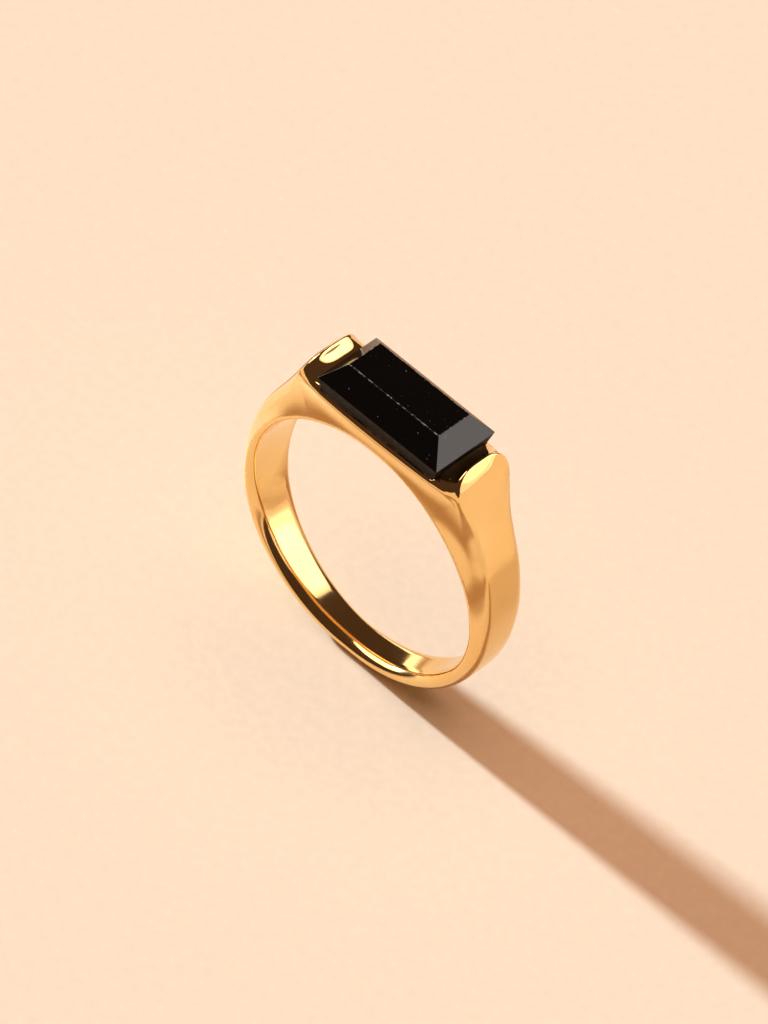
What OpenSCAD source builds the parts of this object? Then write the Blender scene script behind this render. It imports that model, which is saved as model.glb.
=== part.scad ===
// Signet ring: one cast band with a closed head, and a bevelled onyx tablet
// glued into a shallow pocket between two scooped shoulders.
//
// Frame: the origin is the centre of the finger bore, +Y is the finger's axis,
// +Z points up through the stone and +X runs along the stone's long side.

/* [Finger bore] */
// Radius of the finger bore, US ring size 7
bore_r = 8.65; // [8.2:0.05:9]

/* [Shank] */
// Thickness of the band under the finger
shank_t = 1.17; // [1:0.01:1.3]
// Full width of the band under the finger
shank_w = 2.54; // [2.3:0.02:2.8]

/* [Head] */
// Full width of the head across the stone
head_w = 5.2; // [5.16:0.02:5.4]
// Height of the thin rim along the stone's long sides, above the bore centre
rim_z = 10.06; // [10:0.02:10.2]
// Height of the pocket's floor above the bore centre
floor_z = 9.76; // [9.7:0.02:9.8]
// Length of the pocket that holds the stone
pocket_l = 9.52; // [9.5:0.02:9.6]
// Width of the pocket between the two long rims
pocket_w = 4.66; // [4.6:0.02:4.7]
// Radius of the pocket's corners in plan
pocket_corner_r = 0.2; // [0.1:0.05:0.3]
// Height of the crest of each shoulder above the bore centre
crest_z = 11.72; // [11.6:0.02:11.8]
// Radius of the scoop between each crest and the stone
scoop_r = 2.54; // [2.4:0.02:2.7]

/* [Stone] */
// Length of the stone at its girdle
stone_l = 9.44; // [9:0.02:9.6]
// Width of the stone at its girdle
stone_w = 4.94; // [4.8:0.02:5]
// Height of the sides below the girdle
stone_side_h = 1.4; // [1.2:0.1:1.6]
// Height of the bevelled crown above the girdle
stone_crown_h = 1.32; // [1:0.02:1.6]
// Width of the crown's bevels in plan
stone_bevel = 1.17; // [0.8:0.01:1.4]
// How far each side leans in from the girdle to the base
stone_taper = 0.27; // [0.24:0.01:0.32]

/* [Glue] */
// Thickness of the glue between the pocket's floor and the stone
glue_t = 0.18; // [0.1:0.02:0.24]
// How far the glue stops short of the stone's edge
glue_inset = 0.12; // [0.05:0.01:0.3]

/* [Hidden] */
$fn = 64;

// Widths and radii around one side of the ring, from the bottom to the top.
// angle: degrees above the finger's side; bore: half width of the bore wall;
// side: widest half width; edge: half width at the outer edge; then the radius
// of that outer edge and the radius on the middle line; and how much of the
// rise between those two is reached near the edge. Plain radii are for a bore
// of 8.65 mm, and extra is what a larger or smaller bore adds to them.
bottom_r = bore_r + shank_t;
widest = shank_w / 2;
half_head = head_w / 2;
extra = bore_r - 8.65;
STATIONS = [
    [-90, 0.62, widest,        widest - 0.20, bottom_r - 0.16, bottom_r, 0.5],
    [-60, 0.72, widest + 0.20, widest - 0.02, bottom_r - 0.15, bottom_r, 0.5],
    [-30, 0.98, widest + 0.42, 1.50,          bottom_r - 0.15, bottom_r, 0.5],
    [  0, 1.46, 1.92, 1.60,  9.70 + extra,  9.84 + extra, 0.5],
    [ 20, 1.80, 2.10, 1.62, 10.04 + extra, 10.12 + extra, 0.5],
    [ 30, 1.96, 2.22, 1.63, 10.37 + extra, 10.44 + extra, 0.5],
    [ 37, 2.03, 2.29, 1.64, 10.49 + extra, 10.56 + extra, 0.5],
    [ 44, 2.08, 2.34, 1.72, 10.72 + extra, 10.80 + extra, 0.5],
    [ 50, 2.09, 2.37, 1.88, 11.18 + extra, 11.33 + extra, 0.5],
    [ 56, 2.09, 2.39, 2.10, 11.66 + extra, 12.00 + extra, 0.5],
    [ 59, 2.08, 2.40, 2.26, 11.86 + extra, 12.38 + extra, 0.45],
    [ 61.5, 2.07, 2.41, 2.38, (rim_z + 0.34) / sin(61.5), (crest_z - 0.52) / sin(61.5), 0.35],
    [ 63.5, 2.07, 2.41, 2.44, (rim_z + 0.32) / sin(63.5), (crest_z - 0.06) / sin(63.5), 0.3],
    [ 66, 2.06, 2.42, 2.52, (rim_z + 0.26) / sin(66), (crest_z - 0.22) / sin(66), 0.3],
    [ 70, 2.06, 2.42, 2.56, (rim_z + 0.14) / sin(70), (rim_z + 0.14) / sin(70), 0.5],
    [ 75, 2.05, 2.43, half_head - 0.02, (rim_z + 0.06) / sin(75), (rim_z + 0.06) / sin(75), 0.5],
    [ 90, 2.04, 2.44, half_head,        rim_z,                    rim_z, 0.5]
];
LAST = len(STATIONS) - 1;

// Angles at which the band's cross-section is placed, closer near the crests
ANGLES = concat([for (a = [-90:6:24]) a], [for (a = [29:4:49]) a],
                [51.5, 54, 56, 58, 59.5, 61, 62.25, 63.5, 64.75, 66, 68, 70, 73],
                [for (a = [76:5:86]) a], [90]);

// Slope of one column of the stations at station i, level at both ends
function slope(i, c) =
    i == 0 || i == LAST ? 0 :
    (STATIONS[i + 1][c] - STATIONS[i - 1][c]) / (STATIONS[i + 1][0] - STATIONS[i - 1][0]);

// One column at angle a, on a smooth curve through the stations
function column(a, c, i = 0) =
    i < LAST - 1 && a > STATIONS[i + 1][0] ? column(a, c, i + 1) :
    let (
        span = STATIONS[i + 1][0] - STATIONS[i][0],
        t = (a - STATIONS[i][0]) / span,
        t2 = t * t,
        t3 = t2 * t
    )
    (2 * t3 - 3 * t2 + 1) * STATIONS[i][c] + (3 * t2 - 2 * t3) * STATIONS[i + 1][c]
    + (t3 - 2 * t2 + t) * span * slope(i, c) + (t3 - t2) * span * slope(i + 1, c);

// Half of the cross-section at angle a as [radius, y], from inside the bore
// round the side to the middle of the outer face. The bore is cut afterwards.
function half_section(a) =
    let (
        bore = column(a, 1),
        side = column(a, 2),
        edge = column(a, 3),
        edge_r = column(a, 4),
        mid_r = column(a, 5),
        shoulder = column(a, 6),
        hollow = a > -20 ? 0.14 * min(1, (a + 20) / 50) : 0
    )
    [
        [bore_r - 0.2, bore - 0.28],
        [bore_r + 0.17, bore + 0.24],
        [bore_r + 0.36, side - 0.05],
        [bore_r + 0.58, side],
        [(bore_r + 0.58 + edge_r) / 2, (side + edge) / 2 - hollow],
        [edge_r - 0.14, edge + 0.03],
        [edge_r, edge - 0.1],
        [edge_r + shoulder * (mid_r - edge_r), 0.84 * edge],
        [edge_r + (0.35 + shoulder) * (mid_r - edge_r), 0.68 * edge],
        [edge_r + 0.92 * (mid_r - edge_r), 0.42 * edge],
        [mid_r, 0]
    ];

// Whole cross-section at angle a, closed across the bore side
function section(a) =
    let (
        half = half_section(a),
        n = len(half)
    )
    concat(half, [for (i = [n - 2:-1:0]) [half[i][0], -half[i][1]]]);

// Cross-section points in space, swung to angle a on the +X or the -X side
function placed(a, sign) =
    [for (p = section(a)) [sign * p[0] * cos(a), p[1], p[0] * sin(a)]];

// Closed ring through all the cross-sections, before the bore and the pocket
module band_blank() {
    n = len(ANGLES);
    rings = concat(
        [for (i = [0:n - 1]) placed(ANGLES[i], 1)],
        [for (i = [n - 2:-1:1]) placed(ANGLES[i], -1)]
    );
    m = len(rings[0]);
    k = len(rings);
    polyhedron(
        points = [for (ring = rings) for (p = ring) p],
        faces = [
            for (i = [0:k - 1]) for (j = [0:m - 1])
            let (
                p = i * m + j,
                q = i * m + (j + 1) % m,
                r = ((i + 1) % k) * m + (j + 1) % m,
                s = ((i + 1) % k) * m + j
            )
            each [[p, q, r], [p, r, s]]
        ]
    );
}

// Upright prism with rounded corners in plan
module rounded_prism(l, w, h, r) {
    translate([-l / 2, -w / 2 + r, 0]) cube([l, w - 2 * r, h]);
    translate([-l / 2 + r, -w / 2, 0]) cube([l - 2 * r, w, h]);
    for (sx = [-1, 1])
        for (sy = [-1, 1])
            translate([sx * (l / 2 - r), sy * (w / 2 - r), 0]) cylinder(r = r, h = h);
}

// Space cut from the top: the stone's pocket, and a scoop behind each crest
// whose surface falls from the crest towards the end of the stone
module pocket_space() {
    head_room = 4;
    crest_x = 5.79;
    crest_slope = 42;
    translate([0, 0, floor_z])
        rounded_prism(pocket_l, pocket_w, head_room, pocket_corner_r);
    for (sx = [-1, 1])
        translate([
            sx * (crest_x - scoop_r * cos(crest_slope)),
            0,
            crest_z + scoop_r * sin(crest_slope)
        ])
            rotate([90, 0, 0]) cylinder(r = scoop_r, h = 2 * head_w, center = true);
}

module band() {
    color("goldenrod")
        difference() {
            band_blank();
            rotate([90, 0, 0]) cylinder(r = bore_r, h = 4 * head_w, center = true);
            pocket_space();
        }
}

// Corners of a level rectangle at height z
function rectangle(l, w, z) =
    [[-l / 2, -w / 2, z], [l / 2, -w / 2, z], [l / 2, w / 2, z], [-l / 2, w / 2, z]];

stone_base_z = floor_z + glue_t;
module onyx_stone() {
    girdle_z = stone_base_z + stone_side_h;
    table_z = girdle_z + stone_crown_h;
    points = concat(
        rectangle(stone_l - 2 * stone_taper, stone_w - 2 * stone_taper, stone_base_z),
        rectangle(stone_l, stone_w, girdle_z),
        rectangle(stone_l - 2 * stone_bevel, stone_w - 2 * stone_bevel, table_z)
    );
    sides = [
        for (level = [0, 4]) for (i = [0:3])
        let (j = (i + 1) % 4)
        [level + i, level + 4 + i, level + 4 + j, level + j]
    ];
    color("black")
        polyhedron(points = points, faces = concat([[0, 1, 2, 3]], sides, [[11, 10, 9, 8]]));
}

module glue_bed() {
    l = stone_l - 2 * stone_taper - 2 * glue_inset;
    w = stone_w - 2 * stone_taper - 2 * glue_inset;
    color("gainsboro")
        translate([-l / 2, -w / 2, floor_z]) cube([l, w, glue_t]);
}

band();
onyx_stone();
glue_bed();
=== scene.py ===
"""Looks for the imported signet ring: a cast gold band with a rounded skin, a
faceted onyx tablet and the glue that holds it, on a plain pale floor.

The band is meshed from one field, negative inside the metal, in millimetres in
the shared frame: origin at the centre of the finger bore, +Y along the finger,
+Z up through the stone and +X along the stone's long side.
"""

import math

import bmesh
import bpy
import numpy as np
from mathutils import Matrix, Vector


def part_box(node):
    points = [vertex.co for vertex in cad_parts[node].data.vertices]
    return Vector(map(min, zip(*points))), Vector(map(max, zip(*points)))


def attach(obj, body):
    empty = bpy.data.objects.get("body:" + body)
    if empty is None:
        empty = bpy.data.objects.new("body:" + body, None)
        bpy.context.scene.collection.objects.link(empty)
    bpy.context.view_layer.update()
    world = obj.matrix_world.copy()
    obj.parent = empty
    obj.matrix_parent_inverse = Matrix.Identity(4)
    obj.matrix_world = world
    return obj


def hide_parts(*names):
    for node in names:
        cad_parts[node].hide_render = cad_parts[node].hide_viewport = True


MM = 0.001

# ------------------------------------------------------------------ frame
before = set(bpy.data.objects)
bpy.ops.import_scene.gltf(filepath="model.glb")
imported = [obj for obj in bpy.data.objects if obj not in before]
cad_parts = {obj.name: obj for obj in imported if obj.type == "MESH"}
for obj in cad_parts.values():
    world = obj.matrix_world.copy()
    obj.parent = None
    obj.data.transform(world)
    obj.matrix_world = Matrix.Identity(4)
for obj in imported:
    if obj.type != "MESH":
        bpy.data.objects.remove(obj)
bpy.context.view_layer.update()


def box_mm(node):
    """Lowest and highest corner of a CAD node in millimetres."""
    low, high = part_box(node)
    return np.array(low) / MM, np.array(high) / MM


band_low, band_high = box_mm("band")
stone_low, stone_high = box_mm("onyx_stone")
glue_low, _ = box_mm("glue_bed")

# ------------------------------------------------------------------ driving sizes, mm
# The bore, gently domed and hand polished to a slight wave.
BORE_R = 8.65
BORE_DOME = 0.035  # growth with the square of the distance from the middle plane
BORE_WAVE = 0.006
WAVE_ROUND = (1.7, 0.9, 0.6)  # radians per mm along X and Y, and a start
WAVE_ACROSS = (1.3, -1.1)  # radians per mm along Z and Y, crossing the first
BORE_EDGE_R, BORE_EDGE_R_DROP = 0.80, 0.50
BORE_EDGE_ANGLES = (-35, 25)
BORE_EDGE_BIAS = 0.008

# The outer face's crown, and its roll over to the crest.
CROWN, CROWN_GAIN, CROWN_ANGLES = 0.10, 0.22, (38, 56)
CROWN_POWER, CROWN_REACH = 2.6, 1.3
ROLL_START, ROLL_HALF, ROLL_POWER = 1.15, 2.35, 4
ROLL_SLOPE, ROLL_BEND, ROLL_BLEND = 0.11, 0.03, 0.10

# The side faces and the ridge that parts them from the outer face.
SIDE_START = 0.5  # how far outside the bore the side starts to narrow
SIDE_REACH = 1.15
HOLLOW, HOLLOW_ANGLES = 0.11, (-20, 30)
HOLLOW_FADE, HOLLOW_FADE_ANGLES = 0.6, (66, 84)
RIDGE_R, RIDGE_R_DROP, RIDGE_ANGLES = 0.50, 0.38, (44, 57)
RIDGE_INSET = 0.10
SIDE_LEAST = 0.5  # least depth of a side face that its slope is taken over
LEAST_SINE = 0.2  # keeps the limit set by the rim's height finite low on the band

# The head: lip, crests and scoops.
RIM_Z = 10.3
RIM_SLOPE = 0.8
RIM_FOOT_Y = 2.33
RIM_RUN_IN = 0.15  # how far the slope goes on inside its foot
CREST_X, CREST_Z = 5.87, 11.82
CREST_R, CREST_R_GAIN = 0.15, 0.09  # rounding of the head's edges, larger on the crests
CREST_R_X, CREST_R_Z = (5.0, 5.8), (10.0, 11.4)
ARCH_HALF, ARCH_POWER = 2.22, 3
SCOOP_R, SCOOP_SLOPE = 1.40, math.radians(24)
SCOOP_FOOT_Z = 9.8
SCOOP_BOW, SCOOP_BOW_POWER, SCOOP_BOW_REACH = 0.5, 4, 1.1
SCOOP_IN, SCOOP_OUT = 0.9, 0.93  # share of the radius used towards the stone and the crest
SCOOP_EXIT = 2.4  # slope of the scoop past its arc
SCOOP_STEEPNESS = 0.8  # brings the scoop's field near to a true distance
SCOOP_RIM_R = 0.1
# Distance from the middle, and half width of the scoop there.
SCOOP_HALVES = [
    (3.2, 2.30), (4.3, 2.43), (5.0, 2.41), (5.4, 2.34), (5.8, 2.28), (6.3, 2.23), (7.2, 2.21),
]
# Distance from the middle, and drop of the lip there.
RIM_FALLS = [(0, 0), (4.9, 0), (5.3, 0.08), (5.95, 0.42), (6.45, 1.0), (7.2, 1.8), (9, 1.8)]
HALVES_SPREAD, FALLS_SPREAD = 0.2, 0.12
BELOW_HEAD = -9.0  # the head's field where the head doesn't reach

# The pocket and the stone.
FLOOR_Z = glue_low[2]
POCKET_CORNERS = (0.12, 0.34)  # corner radius, at its smallest and largest
POCKET_CORNER_FALL = 0.2  # loss of corner radius per mm above the rim
POCKET_EDGE_R = 0.05
SNUG = 0.02
GIRDLE_RISE = 1.4
TAPER = 0.27
BEVEL = 1.17
WEAR = 0.03  # half width of the worn edges
WORN_IN, WORN_UP = 0.3, 0.25  # where a worn edge bends, in shares of that half width
SEAM = 0.07  # height of the glue that shows above the lip
FOOT_BEVEL, FOOT_LEAN = 0.05, 0.01

# The mesh.
GRID, QUICK_GRID = 0.095, 0.16
GRID_MARGIN = 0.25
GRADIENT_STEP = 0.004
SETTLE_ROUNDS, SETTLE_LONGEST = 6, 0.05
FLATTEST = 0.05  # least squared gradient that a settling step divides by

# Station columns: degrees above the finger's side, widest half width, half
# width at the outer edge, and the radius on the middle line.
STATIONS = [
    (-90, 1.27, 1.06, -band_low[2]),
    (-60, 1.46, 1.24, 9.82),
    (-30, 1.69, 1.48, 9.82),
    (0, 1.92, 1.62, band_high[0]),
    (20, 2.10, 1.64, 10.10),
    (30, 2.22, 1.62, 10.37),
    (37, 2.29, 1.62, 10.53),
    (44, 2.34, 1.74, 10.85),
    (50, 2.37, 1.92, 11.33),
    (56, 2.39, 2.14, 12.01),
    (60, 2.41, 2.36, 12.60),
    (64, 2.42, 2.48, 13.28),
    (68, 2.42, 2.54, 14.00),
    (76, 2.43, 2.58, 15.60),
    (90, 2.44, 2.60, 17.20),
]
SMOOTHING = 2.8  # degrees over which the stations are blended
CURVE_STEPS = 8  # samples in one spread of a smoothed curve
CURVE_REACH = 32  # samples on each side of the smoothing kernel
CURVE_MARGIN = 5  # spreads by which a smoothed curve goes past its ends


def smooth_curve(points, spread):
    """A function through points (place, value), its corners blended over about that spread."""
    places, values = np.array(points, float).T
    step = spread / CURVE_STEPS
    margin = CURVE_MARGIN * spread
    fine = np.arange(places[0] - margin, places[-1] + margin, step)
    offsets = np.arange(-CURVE_REACH, CURVE_REACH + 1) * step
    kernel = np.exp(-0.5 * (offsets / spread) ** 2)
    wide = np.arange(fine[0] - CURVE_REACH * step, fine[-1] + (CURVE_REACH + 0.5) * step, step)
    smooth = np.convolve(np.interp(wide, places, values), kernel / kernel.sum(), "valid")
    return lambda place: np.interp(place, fine[: len(smooth)], smooth)


def profile(column):
    """One column of the stations as a smooth function of the angle, even about both ends."""
    here = [(row[0], row[column]) for row in STATIONS]
    before = [(-180 - a, v) for a, v in reversed(here[1:4])]
    after = [(180 - a, v) for a, v in reversed(here[-4:-1])]
    return smooth_curve(before + here + after, SMOOTHING)


side_at, edge_at, middle_at = profile(1), profile(2), profile(3)
scoop_half_at = smooth_curve(SCOOP_HALVES, HALVES_SPREAD)
rim_fall_at = smooth_curve(RIM_FALLS, FALLS_SPREAD)


def ramp(value, low, high):
    """0 below low, 1 above high and a smooth step between."""
    t = np.clip((value - low) / (high - low), 0, 1)
    return t * t * (3 - 2 * t)


ROUNDING = 1.17  # width of the blend that gives a right angle an edge of about radius 1


def round_max(a, b, radius):
    """The larger of two fields, with the edge between them rounded to about that radius."""
    k = ROUNDING * radius
    h = np.clip(0.5 + 0.5 * (a - b) / k, 0, 1)
    return b + (a - b) * h + k * h * (1 - h)


def round_min(a, b, radius):
    """The smaller of two fields, with the edge between them rounded to about that radius."""
    return -round_max(-a, -b, radius)


# ------------------------------------------------------------------ objects
def put(name, data):
    """A new object for that data, linked to the scene."""
    piece = bpy.data.objects.new(name, data)
    bpy.context.scene.collection.objects.link(piece)
    return piece


def mesh_object(name, points, faces, normals=None):
    """A mesh object from points in millimetres, smooth where normals are given."""
    mesh = bpy.data.meshes.new(name)
    mesh.from_pydata((np.asarray(points) * MM).tolist(), [], [list(map(int, f)) for f in faces])
    mesh.validate()
    if normals is not None:
        mesh.polygons.foreach_set("use_smooth", [True] * len(mesh.polygons))
        mesh.normals_split_custom_set_from_vertices(normals.tolist())
    return put(name, mesh)


# ------------------------------------------------------------------ band
def crest_height(y):
    """Height of the crest across the finger, an arch that drops to the rim at both sides."""
    share = np.clip(np.abs(y) / ARCH_HALF, 0, 1) ** ARCH_POWER
    return SCOOP_FOOT_Z + (CREST_Z - SCOOP_FOOT_Z) * np.sqrt(1 - share)


def outer_skin(y, z, r, angle):
    """Distance outside the outer face, crowned across the finger and rolled over to the crest."""
    crown = CROWN + CROWN_GAIN * ramp(angle, *CROWN_ANGLES)
    across = np.minimum(np.abs(y) / edge_at(angle), CROWN_REACH)
    radius = middle_at(angle)
    fine = 0.5  # degrees
    rise = (middle_at(angle + fine) - middle_at(angle - fine)) / (2 * math.radians(fine))
    lean = 1 / np.sqrt(1 + (rise / radius) ** 2)
    roll_height = ROLL_START * (1 - np.clip(np.abs(y) / ROLL_HALF, 0, 1) ** ROLL_POWER)
    above = z - crest_height(y) + roll_height
    roll = ROLL_SLOPE * ROLL_BLEND * np.logaddexp(0, above / ROLL_BLEND)
    roll += ROLL_BEND * np.maximum(above, 0) ** 2
    return (r - radius + crown * across ** CROWN_POWER) * lean + roll


def side_face(r, angle, y, edge_radius):
    """Distance outside the side faces, hollowed under the shoulder's ridge."""
    side, edge = side_at(angle), edge_at(angle)
    start = BORE_R + SIDE_START
    across = np.clip((r - start) / (edge_radius - start), 0, SIDE_REACH)
    hollow = HOLLOW * ramp(angle, *HOLLOW_ANGLES)
    hollow = hollow * (1 - HOLLOW_FADE * ramp(angle, *HOLLOW_FADE_ANGLES))
    half = side + (edge - side) * across - hollow * 4 * across * np.clip(1 - across, 0, 1)
    slope = (edge - side) / np.maximum(edge_radius - start, SIDE_LEAST)
    return (np.abs(y) - half) / np.sqrt(1 + slope ** 2)


def scoop(x, y, z):
    """Distance above the saddle that falls from each crest to the stone's end. It bows outwards
    towards the ring's sides."""
    bow = np.minimum(np.abs(y) / ARCH_HALF, SCOOP_BOW_REACH) ** SCOOP_BOW_POWER
    along = np.abs(x) - SCOOP_BOW * bow
    centre_x = CREST_X - SCOOP_R * math.cos(SCOOP_SLOPE)
    centre_z = CREST_Z + SCOOP_R * math.sin(SCOOP_SLOPE)
    reach = np.clip(along - centre_x, -SCOOP_IN * SCOOP_R, SCOOP_OUT * SCOOP_R)
    over = np.maximum(along - centre_x - SCOOP_OUT * SCOOP_R, 0)
    middle = centre_z - np.sqrt(SCOOP_R ** 2 - reach ** 2) + SCOOP_EXIT * over
    height = middle - SCOOP_FOOT_Z
    up = np.maximum(z - SCOOP_FOOT_Z, 0) / height
    across = (np.abs(y) / scoop_half_at(along)) ** ARCH_POWER
    return height * (np.sqrt(across + up ** 2) - 1) * SCOOP_STEEPNESS


def rim_top(x, y, z):
    """Distance above the lip, which slopes down outwards and falls to the crests' corners."""
    outwards = np.maximum(np.abs(y) - RIM_FOOT_Y, -RIM_RUN_IN)
    level = RIM_Z - rim_fall_at(np.abs(x)) - RIM_SLOPE * outwards
    return (z - level) / math.hypot(1, RIM_SLOPE)


def pocket(x, y, z):
    """Distance outside the stone's pocket, whose walls follow the stone's leaning sides."""
    lean = TAPER / GIRDLE_RISE
    grow = lean * (np.clip(z, FLOOR_Z, None) - stone_low[2]) - TAPER + SNUG
    r = np.clip(POCKET_CORNERS[1] - POCKET_CORNER_FALL * (z - RIM_Z), *POCKET_CORNERS)
    u = np.abs(x) - (stone_high[0] + grow) + r
    v = np.abs(y) - (stone_high[1] + grow) + r
    wall = np.hypot(np.maximum(u, 0), np.maximum(v, 0)) + np.minimum(np.maximum(u, v), 0) - r
    return np.maximum(wall, FLOOR_Z - z)


def bore(x, y, z, r):
    """Distance inside the finger bore."""
    per_x, per_y, start = WAVE_ROUND
    per_z, back_y = WAVE_ACROSS
    wave = BORE_WAVE * np.sin(per_x * x + per_y * y + start) * np.sin(per_z * z + back_y * y)
    return BORE_R + BORE_DOME * y ** 2 + wave - r


def band_field(x, y, z):
    """Negative inside the metal."""
    r = np.hypot(x, z)
    angle = np.degrees(np.arctan2(z, np.abs(x)))
    sine = np.maximum(np.sin(np.radians(angle)), LEAST_SINE)
    edge_radius = np.minimum(middle_at(angle) - RIDGE_INSET, (RIM_Z - RIDGE_INSET) / sine)
    outer = outer_skin(y, z, r, angle)
    sides = side_face(r, angle, y, edge_radius)
    skin = round_max(outer, sides, RIDGE_R - RIDGE_R_DROP * ramp(angle, *RIDGE_ANGLES))
    hole = bore(x, y, z, r)
    bore_edge_r = BORE_EDGE_R - BORE_EDGE_R_DROP * ramp(angle, *BORE_EDGE_ANGLES)
    skin = round_max(skin, hole - BORE_EDGE_BIAS, bore_edge_r)
    skin = np.maximum(skin, hole)
    head_top = round_min(scoop(x, y, z), rim_top(x, y, z), SCOOP_RIM_R)
    head_top = np.where(z > 0, head_top, BELOW_HEAD)
    crest_r = CREST_R + CREST_R_GAIN * ramp(np.abs(x), *CREST_R_X) * ramp(z, *CREST_R_Z)
    solid = round_max(skin, head_top, crest_r)
    return round_max(solid, -pocket(x, y, z), POCKET_EDGE_R)


def gradient(field, points):
    """Gradient of a field at points, by central differences."""
    g = np.empty_like(points)
    for axis in range(3):
        d = np.zeros(3)
        d[axis] = GRADIENT_STEP
        g[:, axis] = (field(*(points + d).T) - field(*(points - d).T)) / (2 * GRADIENT_STEP)
    return g


def surface_nets(field, low, high, step):
    """Vertices and quads of the field's zero surface, by naive surface nets on a grid."""
    counts = np.ceil((high - low) / step).astype(int) + 1
    axes = [low[i] + step * np.arange(counts[i]) for i in range(3)]
    value = np.empty(counts)
    for i, x in enumerate(axes[0]):
        y, z = np.meshgrid(axes[1], axes[2], indexing="ij")
        value[i] = field(np.full_like(y, x), y, z)
    inside = value < 0
    total = np.zeros(tuple(counts - 1) + (3,))
    crossings = np.zeros(tuple(counts - 1))
    for axis in range(3):
        a = [slice(None)] * 3
        b = [slice(None)] * 3
        a[axis], b[axis] = slice(None, -1), slice(1, None)
        va, vb = value[tuple(a)], value[tuple(b)]
        cut = inside[tuple(a)] != inside[tuple(b)]
        share = np.where(cut, va / np.where(cut, va - vb, 1), 0)
        others = [i for i in range(3) if i != axis]
        for du in (0, 1):
            for dv in (0, 1):
                pick = [slice(None)] * 3
                for other, d in zip(others, (du, dv)):
                    pick[other] = slice(d, counts[other] - 1 + d)
                c, s = cut[tuple(pick)], share[tuple(pick)]
                crossings += c
                total[..., axis] += s
                for other, d in zip(others, (du, dv)):
                    total[..., other] += c * d
    cells = crossings > 0
    number = np.full(tuple(counts - 1), -1)
    number[cells] = np.arange(cells.sum())
    corner = np.argwhere(cells)
    points = low + step * (corner + total[cells] / crossings[cells][:, None])
    quads = []
    for axis in range(3):
        a = [slice(1, -1)] * 3
        b = [slice(1, -1)] * 3
        a[axis], b[axis] = slice(None, -1), slice(1, None)
        ia, ib = inside[tuple(a)], inside[tuple(b)]
        u, v = [(1, 2), (2, 0), (0, 1)][axis]
        for here, flip in ((ia & ~ib, False), (ib & ~ia, True)):
            at = np.argwhere(here)
            at[:, u] += 1
            at[:, v] += 1
            ring = []
            for du, dv in ((1, 1), (0, 1), (0, 0), (1, 0)):
                q = at.copy()
                q[:, u] -= du
                q[:, v] -= dv
                ring.append(number[tuple(q.T)])
            quad = np.stack(ring, 1)
            quads.append(quad[:, ::-1] if flip else quad)
    return points, np.concatenate(quads)


def settle(field, points):
    """Moves points along the gradient onto the field's zero surface."""
    for _ in range(SETTLE_ROUNDS):
        g = gradient(field, points)
        steepness = np.maximum((g * g).sum(1, keepdims=True), FLATTEST)
        step = field(*points.T)[:, None] * g / steepness
        length = np.linalg.norm(step, axis=1, keepdims=True)
        points = points - step * np.minimum(1, SETTLE_LONGEST / np.maximum(length, 1e-9))
    return points


def make_band():
    """The ring's metal, meshed on a grid and settled onto the field."""
    grid = GRID
    low, high = band_low - GRID_MARGIN, band_high + GRID_MARGIN
    points, quads = surface_nets(band_field, low, high, grid)
    points = settle(band_field, points)
    g = gradient(band_field, points)
    normals = g / np.linalg.norm(g, axis=1, keepdims=True)
    points = np.clip(points, band_low, band_high)
    return mesh_object("ring_band", points, quads, normals)


# ------------------------------------------------------------------ stone
CORNER_STEPS = 4
CORNERS = (0.28, 0.32, 0.30, 0.28, 0.05, 0.05, 0.04, 0.03, 0.03, 0.03)  # radii, foot to table
GROUND_LEVELS = 4  # levels of the loft, from the foot, whose faces are ground and not polished
SEAM_LEVEL = 2  # level with the thin bead of glue at the metal's lip
# The table's worn edge gets pale flecks: a painted highlight, together with chips.
EDGE_CHIPS_AND_HIGHLIGHT_LEVELS = (7, 8)  # levels at the table's worn edge
GROUND, EDGE_CHIPS_AND_HIGHLIGHT, GLUED = 1, 2, 3  # the stone's material slots after the polished one


def rounded_loop(half_l, half_w, corner, z):
    """Points round a rectangle with rounded corners at height z."""
    loop = []
    for quarter, (sx, sy) in enumerate(((1, 1), (-1, 1), (-1, -1), (1, -1))):
        for i in range(CORNER_STEPS + 1):
            a = math.radians(90 * quarter + 90 * i / CORNER_STEPS)
            loop.append((
                sx * (half_l - corner) + corner * math.cos(a),
                sy * (half_w - corner) + corner * math.sin(a),
                z,
            ))
    return loop


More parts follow.
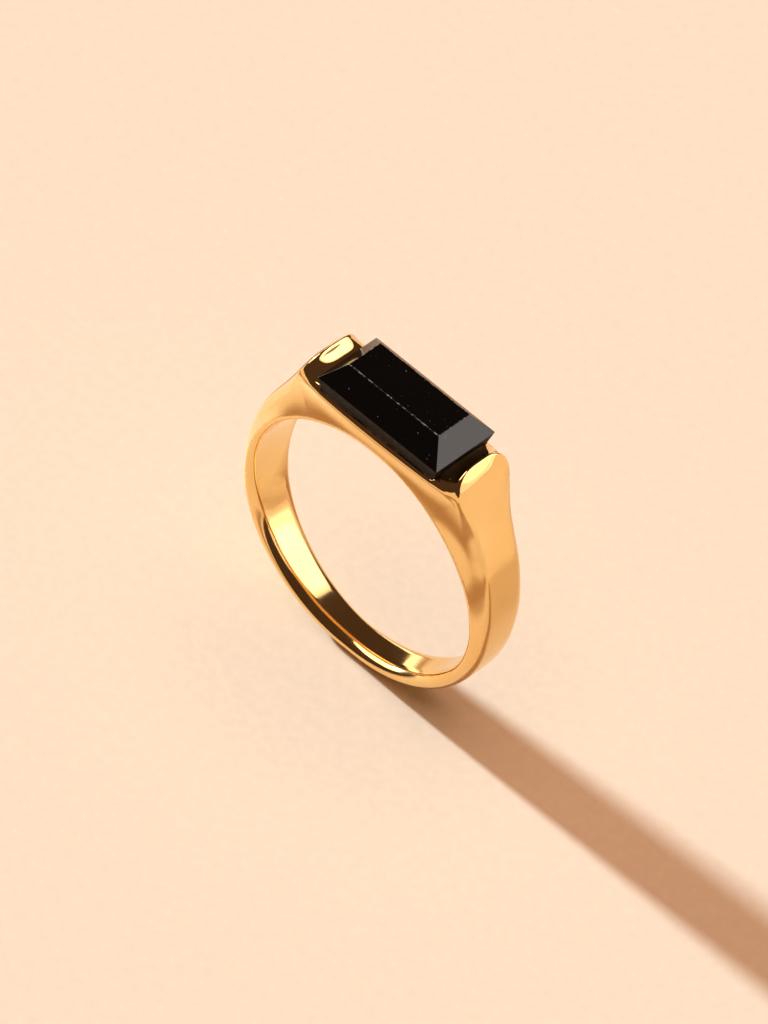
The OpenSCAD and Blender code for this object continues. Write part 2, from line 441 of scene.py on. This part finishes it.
def make_stone():
    """The tablet, lofted through rounded rectangles so that each edge has a tiny worn bevel."""
    half_l, half_w = stone_high[0], stone_high[1]
    base, table = stone_low[2], stone_high[2]
    girdle = base + GIRDLE_RISE
    crown = (table - girdle) / BEVEL

    def inset_at(z):
        return TAPER * (1 - (z - base) / GIRDLE_RISE)

    # Inset from the girdle's outline, and height.
    levels = [
        (TAPER + FOOT_BEVEL, base),
        (TAPER - FOOT_LEAN, base + FOOT_BEVEL),
        (inset_at(RIM_Z), RIM_Z),
        (inset_at(RIM_Z + SEAM), RIM_Z + SEAM),
        (0.0, girdle - WEAR),
        (0.0, girdle),
        (WEAR, girdle + WEAR * crown),
        (BEVEL - WEAR, table - WEAR * crown),
        (BEVEL - WORN_IN * WEAR, table - WORN_UP * WEAR),
        (BEVEL + WEAR, table),
    ]
    loops = [
        rounded_loop(half_l - inset, half_w - inset, corner, z)
        for (inset, z), corner in zip(levels, CORNERS)
    ]
    count = len(loops[0])
    faces = [tuple(reversed(range(count)))]
    for level in range(len(loops) - 1):
        for i in range(count):
            j = (i + 1) % count
            low, high = level * count, (level + 1) * count
            faces.append((low + i, low + j, high + j, high + i))
    top = (len(loops) - 1) * count
    faces.append(tuple(range(top, top + count)))
    piece = mesh_object("onyx_tablet", [p for loop in loops for p in loop], faces)
    for i, face in enumerate(piece.data.polygons):
        level = (i - 1) // count
        # painted highlight and chips on the table's worn edge
        if level in EDGE_CHIPS_AND_HIGHLIGHT_LEVELS:
            face.material_index = EDGE_CHIPS_AND_HIGHLIGHT
        elif level == SEAM_LEVEL:
            face.material_index = GLUED
        elif level < GROUND_LEVELS:
            face.material_index = GROUND
    return piece


# ------------------------------------------------------------------ materials
BORE_POLISH = (0.15, 0.55)  # mm outside the bore where its polish ends
HEAD_POLISH = (9.2, 10.2)  # heights where the head's polish begins
LEFT_POLISH, LEFT_LEAN = (-6.0, -2.5), 0.45  # the lower left side is polished too
WORN_BORE = 0.05  # roughness that wear adds to the bore
GRAIN_DEPTH, GRAIN_STRETCH = 0.0000008, (1, 1, 0.12)  # metres, and the grain's proportions


def in_metres(limits):
    """Limits given in millimetres, in Blender's metres."""
    return [limit * MM for limit in limits]


class Nodes:
    """Short names for building one material's nodes."""

    def __init__(self, name):
        self.material = bpy.data.materials.new(name)
        self.material.use_nodes = True
        self.tree = self.material.node_tree
        self.shader = self.tree.nodes["Principled BSDF"]

    def add(self, kind, **sockets):
        node = self.tree.nodes.new(kind)
        for name, value in sockets.items():
            node.inputs[name.replace("_", " ")].default_value = value
        return node

    def join(self, source, target):
        self.tree.links.new(source, target)

    def place(self):
        """Outputs X, Y and Z: the place on the piece, in metres."""
        place = self.add("ShaderNodeTexCoord")
        split = self.add("ShaderNodeSeparateXYZ")
        self.join(place.outputs["Object"], split.inputs["Vector"])
        return split.outputs

    def paint(self, source, stops):
        """Base colour from a ramp of stops (place, colour)."""
        self.join(self.ramp(source, stops), self.shader.inputs["Base Color"])

    def polish(self, source, low, high):
        """Roughness spread from low to high."""
        self.join(self.spread(source, low, high), self.shader.inputs["Roughness"])

    def noise(self, scale, detail=4.0, stretch=(1, 1, 1)):
        """Noise over the piece's own coordinates, scale in features per metre."""
        place = self.add("ShaderNodeTexCoord")
        mapping = self.add("ShaderNodeMapping", Scale=stretch)
        noise = self.add("ShaderNodeTexNoise", Scale=scale, Detail=detail)
        self.join(place.outputs["Object"], mapping.inputs["Vector"])
        self.join(mapping.outputs["Vector"], noise.inputs["Vector"])
        return noise.outputs["Fac"]

    def ramp(self, source, stops):
        node = self.tree.nodes.new("ShaderNodeValToRGB")
        ends = node.color_ramp.elements
        for element, (place, colour) in zip(ends, stops[:2]):
            element.position, element.color = place, (*colour, 1)
        for place, colour in stops[2:]:
            ends.new(place).color = (*colour, 1)
        self.join(source, node.inputs["Fac"])
        return node.outputs["Color"]

    def spread(self, source, low, high, start=0.35, end=0.65):
        node = self.add("ShaderNodeMapRange", From_Min=start, From_Max=end, To_Min=low, To_Max=high)
        self.join(source, node.inputs["Value"])
        return node.outputs["Result"]

    def math(self, operation, first, second):
        """One arithmetic node; second may be a socket or a number."""
        node = self.tree.nodes.new("ShaderNodeMath")
        node.operation = operation
        self.join(first, node.inputs[0])
        if isinstance(second, (int, float)):
            node.inputs[1].default_value = second
        else:
            self.join(second, node.inputs[1])
        return node.outputs["Value"]

    def bump(self, source, height):
        node = self.add("ShaderNodeBump", Strength=1.0, Distance=height)
        self.join(source, node.inputs["Height"])
        self.join(node.outputs["Normal"], self.shader.inputs["Normal"])


def gold():
    """Satin outside and under the head, polished on the head, in the bore and lower left."""
    m = Nodes("polished_gold")
    m.shader.inputs["Metallic"].default_value = 1.0
    m.paint(m.noise(260, 3), [(0.3, (0.92, 0.61, 0.24)), (0.7, (0.95, 0.66, 0.28))])
    brushed = m.spread(m.noise(700, 5), 0.14, 0.19)
    polished = m.spread(m.noise(900, 5), 0.045, 0.085)
    x, _, z = m.place().values()
    radius = m.math("POWER", m.math("ADD", m.math("MULTIPLY", x, x), m.math("MULTIPLY", z, z)), 0.5)
    bore_edge = in_metres(BORE_R + outside for outside in BORE_POLISH)
    past_bore = m.spread(radius, 0, 1, *bore_edge)
    below_head = m.spread(z, 1, 0, *in_metres(HEAD_POLISH))
    leftwards = m.math("ADD", z, m.math("MULTIPLY", x, LEFT_LEAN))
    lower_left = m.spread(leftwards, 0, 1, *in_metres(LEFT_POLISH))
    satin = m.math("MULTIPLY", m.math("MULTIPLY", past_bore, below_head), lower_left)
    more = m.math("MULTIPLY", satin, m.math("SUBTRACT", brushed, polished))
    worn_bore = m.spread(radius, WORN_BORE, 0, *bore_edge)
    m.join(m.math("ADD", m.math("ADD", polished, more), worn_bore), m.shader.inputs["Roughness"])
    m.bump(m.noise(2600, 4, GRAIN_STRETCH), GRAIN_DEPTH)
    return m.material


def onyx():
    """Polished black stone with fine dust on it."""
    m = Nodes("black_onyx")
    m.paint(m.noise(5200, 2), [(0.72, (0.0012, 0.0012, 0.0012)), (0.78, (0.16, 0.15, 0.13))])
    m.polish(m.noise(900, 5), 0.05, 0.11)
    m.shader.inputs["IOR"].default_value = 1.5
    return m.material


def ground_onyx():
    """The stone's dull lower sides."""
    m = Nodes("ground_onyx")
    m.paint(m.noise(1500, 4), [(0.3, (0.007, 0.005, 0.004)), (0.7, (0.016, 0.011, 0.009))])
    m.polish(m.noise(3000, 3), 0.5, 0.65)
    m.shader.inputs["Specular IOR Level"].default_value = 0.12
    return m.material


def onyx_edge_chips_and_highlight():
    """The table's edge: pale flecks paint a highlight along it, together with chips."""
    m = Nodes("onyx_edge_chips_and_painted_highlight")
    # Painted highlight: pale flecks stand in for light caught on the edge, together with real
    # chips.
    m.paint(m.noise(4200, 3), [(0.50, (0.004, 0.004, 0.005)), (0.64, (0.20, 0.19, 0.17))])
    m.polish(m.noise(3000, 3), 0.25, 0.4)
    return m.material


def seam():
    """The broken line of glue at the lip."""
    m = Nodes("glue_seam")
    m.paint(m.noise(900, 3), [(0.42, (0.012, 0.008, 0.007)), (0.55, (0.30, 0.19, 0.16))])
    m.polish(m.noise(3000, 3), 0.2, 0.35)
    return m.material


def glue():
    """The milky bed under the stone."""
    m = Nodes("clear_glue")
    m.paint(m.noise(900), [(0.3, (0.52, 0.47, 0.40)), (0.7, (0.62, 0.57, 0.48))])
    m.polish(m.noise(500), 0.15, 0.3)
    return m.material


band = make_band()
band.data.materials.append(gold())
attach(band, "root")
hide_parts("band")

stone = make_stone()
for look in (onyx, ground_onyx, onyx_edge_chips_and_highlight, seam):
    stone.data.materials.append(look())
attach(stone, "root")
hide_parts("onyx_stone")

glue_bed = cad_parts["glue_bed"]
glue_bed.data.materials.clear()
glue_bed.data.materials.append(glue())

# ------------------------------------------------------------------ floor and cards
FLOOR_SIZE = 3.0  # metres
CARD_LIFT = 0.15  # mm above the floor
CARD_MOTTLE = 0.9  # share of a card's colour in its darker patches


def make_floor():
    """A plain sheet of pale paper under the ring."""
    bm = bmesh.new()
    bmesh.ops.create_grid(bm, x_segments=2, y_segments=2, size=FLOOR_SIZE / 2)
    mesh = bpy.data.meshes.new("floor")
    bm.to_mesh(mesh)
    bm.free()
    floor = put("floor", mesh)
    floor.location.z = band_low[2] * MM
    m = Nodes("pale_paper")
    m.paint(m.noise(1500), [(0.3, (0.79, 0.64, 0.515)), (0.7, (0.83, 0.68, 0.55))])
    m.shader.inputs["Roughness"].default_value = 0.9
    m.shader.inputs["Specular IOR Level"].default_value = 0.1
    floor.data.materials.append(m.material)


make_floor()


def shade_card(name, x_range, y_range, colour, soft):
    """A dull card just above the floor that only mirror reflections see, as a photographer's flag.
    Its colour paints shade on the floor as the metal mirrors it, or, for a pale card, a patch of
    light. It fades out over the last soft millimetres at its edges."""
    z = band_low[2] + CARD_LIFT
    (x0, x1), (y0, y1) = x_range, y_range
    corners = [(x0, y0, z), (x1, y0, z), (x1, y1, z), (x0, y1, z)]
    card = mesh_object(name, corners, [range(len(corners))])
    m = Nodes(name)
    darker = tuple(CARD_MOTTLE * c for c in colour)
    m.paint(m.noise(60), [(0.3, darker), (0.7, colour)])
    m.shader.inputs["Roughness"].default_value = 1.0
    m.shader.inputs["Specular IOR Level"].default_value = 0.0
    place = m.place()
    fades = []
    for axis, limits in (("X", x_range), ("Y", y_range)):
        low, high = in_metres(limits)
        rise = m.spread(place[axis], 0, 1, low, low + soft * MM)
        fall = m.spread(place[axis], 1, 0, high - soft * MM, high)
        fades.append(m.math("MULTIPLY", rise, fall))
    m.join(m.math("MULTIPLY", *fades), m.shader.inputs["Alpha"])
    card.data.materials.append(m.material)
    card.visible_camera = card.visible_shadow = card.visible_diffuse = False


SHADE = (0.42, 0.25, 0.15)
shade_card("front_shade", (-80, 80), (-34, -12), SHADE, 7)
shade_card("back_shade", (-80, 8), (9, 29), SHADE, 4)
shade_card("right_shade", (4, 66), (-14, 46), (0.66, 0.50, 0.38), 17)
# A pale card paints a patch of sunlit floor into the metal's reflections.
shade_card("left_painted_sunlit_floor", (-70, -11), (-12, 9), (0.97, 0.92, 0.84), 4)

# ------------------------------------------------------------------ light
AMBIENT = (0.068, 0.038, 0.026, 1)
SUN_ENERGY, SUN_COLOUR, SUN_WIDTH = 7.0, (0.76, 0.94, 1.0), 4  # its width in degrees
SUN_TOWARDS = (-1, -0.05, 0.36)


def direction(azimuth, elevation):
    """Unit vector at that angle from +X round towards +Y, and above the horizon."""
    a, e = math.radians(azimuth), math.radians(elevation)
    return (math.cos(a) * math.cos(e), math.sin(a) * math.cos(e), math.sin(e))


def aim(light, towards):
    """Turns a light so that it shines from that direction onto the origin."""
    light.rotation_mode = "QUATERNION"
    light.rotation_quaternion = towards.to_track_quat("Z", "Y")


def area_light(name, towards, distance, size, radiance, colour):
    """A soft oval light seen from the origin in that direction."""
    data = bpy.data.lights.new(name, "AREA")
    data.shape = "ELLIPSE"
    data.size, data.size_y = size
    data.energy = radiance * math.pi * size[0] * size[1]
    data.color = colour
    light = put(name, data)
    towards = Vector(towards).normalized()
    light.location = towards * distance
    aim(light, towards)
    light.visible_camera = False
    return light


world = bpy.data.worlds.new("studio")
bpy.context.scene.world = world
world.use_nodes = True
background = world.node_tree.nodes["Background"]
background.inputs["Color"].default_value = AMBIENT
background.inputs["Strength"].default_value = 1.0

# The fill lights the floor and the dull parts. No reflection shows it, so it adds nothing to
# the metal.
warm_fill = area_light("warm_fill", (0, 0, 1), 1.2, (1.5, 1.5), 1.75, (1.0, 0.63, 0.41))
warm_fill.visible_glossy = False

# Lights seen only in reflections: name, direction, distance and size in metres, radiance and
# colour. The three windows lie over one another, so that the reflection brightens inwards.
REFLECTED = [
    ("window_right_back", direction(34, 28), 0.70, (1.25, 1.00), 0.9, (1.0, 0.88, 0.78)),
    ("window_middle", direction(36, 31), 0.69, (1.05, 0.80), 0.5, (1.0, 0.92, 0.84)),
    ("window_core", direction(38, 34), 0.68, (0.80, 0.58), 0.7, (1.0, 0.95, 0.92)),
    ("left_softbox", direction(195, 37), 0.70, (0.42, 0.64), 2.7, (1.0, 0.86, 0.72)),
    ("left_glow", direction(150, 2), 0.9, (1.2, 0.22), 1.6, (1.0, 0.88, 0.74)),
]
for values in REFLECTED:
    area_light(*values).visible_diffuse = False

sun_data = bpy.data.lights.new("low_sun", "SUN")
sun_data.energy = SUN_ENERGY
sun_data.angle = math.radians(SUN_WIDTH)
sun_data.color = SUN_COLOUR
aim(put("low_sun", sun_data), Vector(SUN_TOWARDS).normalized())

# ------------------------------------------------------------------ camera
CAMERA_RIGHT = Vector((0.7153, 0.6853, 0.1368))
CAMERA_UP = Vector((-0.5818, 0.4756, 0.6598))
CAMERA_BACK = Vector((0.3871, -0.5515, 0.7389))
CAMERA_DISTANCE = 0.36782  # metres from the origin, along CAMERA_BACK
CAMERA_SHIFT = (0.0002765, 0.0013516)  # metres to the right and up
LENS, SENSOR = 221.3, 36  # mm
CLIP = (0.01, 20)

camera_data = bpy.data.cameras.new("camera")
camera_data.lens = LENS
camera_data.sensor_width = SENSOR
camera_data.clip_start, camera_data.clip_end = CLIP
camera = put("camera", camera_data)
axes = Matrix((CAMERA_RIGHT, CAMERA_UP, CAMERA_BACK)).transposed().to_4x4()
right, up = CAMERA_SHIFT
place = CAMERA_BACK * CAMERA_DISTANCE + CAMERA_RIGHT * right + CAMERA_UP * up
camera.matrix_world = Matrix.Translation(place) @ axes
bpy.context.scene.camera = camera
bpy.context.scene.view_settings.view_transform = "Standard"
